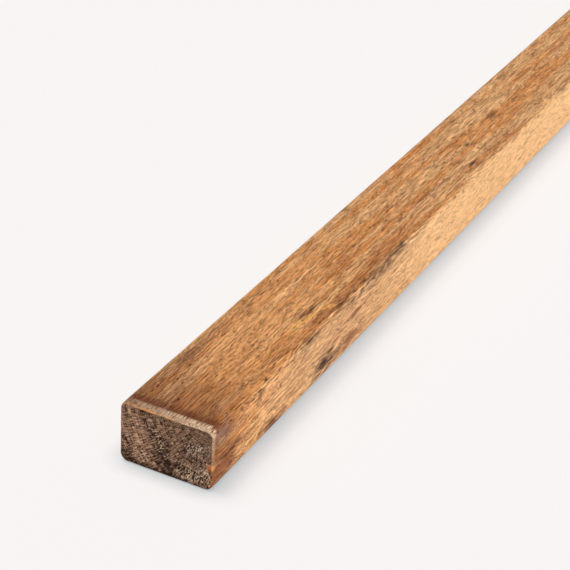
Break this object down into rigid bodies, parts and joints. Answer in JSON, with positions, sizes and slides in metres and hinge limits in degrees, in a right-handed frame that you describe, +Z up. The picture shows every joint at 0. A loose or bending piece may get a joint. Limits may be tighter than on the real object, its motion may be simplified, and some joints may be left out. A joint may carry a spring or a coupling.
{
  "type": "hardwood beam",
  "caption": "Straight planed hardwood beam of oblong section with rounded long edges and eased sawn ends, for framing, posts and rails.",
  "frame": {"origin": "middle of the underside, half way along the beam, so the beam lies on z = 0", "axes": "+X along the grain away from the end that the picture shows, +Y across the broad face, +Z up"},
  "size_m": [1.8, 0.06, 0.04],
  "materials": {
    "hardwood": "matte"
  },
  "bodies": {
    "root": {"beam": "hardwood"}
  },
  "joints": []
}
